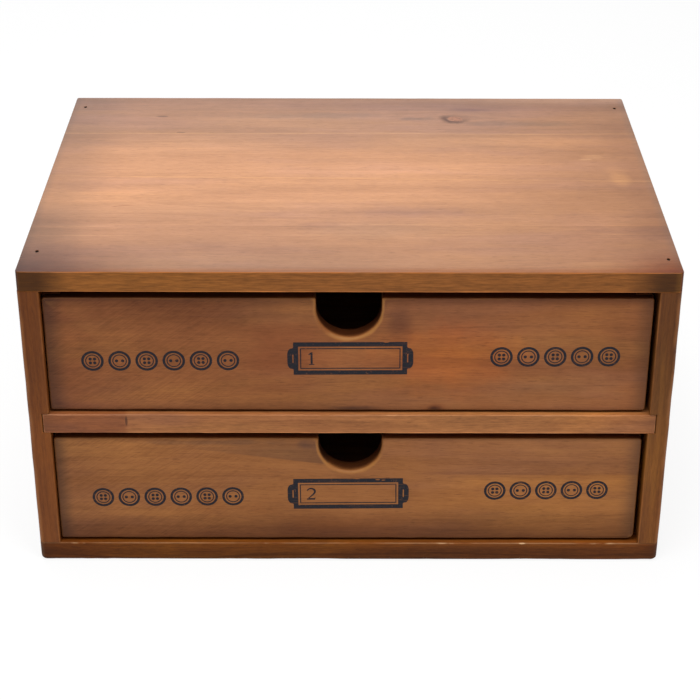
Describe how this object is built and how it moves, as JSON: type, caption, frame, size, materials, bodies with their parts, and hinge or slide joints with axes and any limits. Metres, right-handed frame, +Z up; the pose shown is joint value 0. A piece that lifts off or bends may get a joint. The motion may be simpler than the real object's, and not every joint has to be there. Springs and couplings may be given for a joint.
{
  "type": "two-drawer button storage box",
  "caption": "Small table-top cabinet of stained softwood with two sliding drawers for buttons, each with a round finger notch in its front.",
  "frame": {"origin": "middle of the underside of the base board", "axes": "+X to the right seen from the front, +Y to the back, +Z up; the drawers open along -Y"},
  "size_m": [0.3, 0.218, 0.156],
  "materials": {
    "stained_top": "brown stain under a thin satin varnish, grain along the width",
    "stained_carcass": "brown stain, satin, darker on arrises and end grain",
    "stained_front": "brown stain, satin, sanding marks, darker towards the edges",
    "drawer_wood": "brown stain, matt, sawn texture",
    "plywood": "thin plywood, brown stain, matt",
    "steel": "darkened wire brads",
    "printed_ink": "thin blue-black screen print"
  },
  "bodies": {
    "cabinet": {"top_panel": "stained_top", "base_panel": "stained_carcass", "left_side_panel": "stained_carcass", "right_side_panel": "stained_carcass", "shelf": "stained_carcass", "back_panel": "plywood", "top_brads": "steel", "base_brads": "steel", "shelf_brads": "steel", "back_pins": "steel"},
    "upper_drawer": {"upper_drawer_front": "stained_front", "upper_drawer_left_side": "drawer_wood", "upper_drawer_right_side": "drawer_wood", "upper_drawer_back": "drawer_wood", "upper_drawer_bottom": "plywood", "upper_drawer_corner_brads": "steel", "upper_drawer_bottom_pins": "steel"},
    "lower_drawer": {"lower_drawer_front": "stained_front", "lower_drawer_left_side": "drawer_wood", "lower_drawer_right_side": "drawer_wood", "lower_drawer_back": "drawer_wood", "lower_drawer_bottom": "plywood", "lower_drawer_corner_brads": "steel", "lower_drawer_bottom_pins": "steel"}
  },
  "joints": [
    {"name": "upper_drawer_slide", "type": "slide", "parent": "cabinet", "child": "upper_drawer", "axis": [0, -1, 0], "range_m": [0, 0.17]},
    {"name": "lower_drawer_slide", "type": "slide", "parent": "cabinet", "child": "lower_drawer", "axis": [0, -1, 0], "range_m": [0, 0.17]}
  ]
}
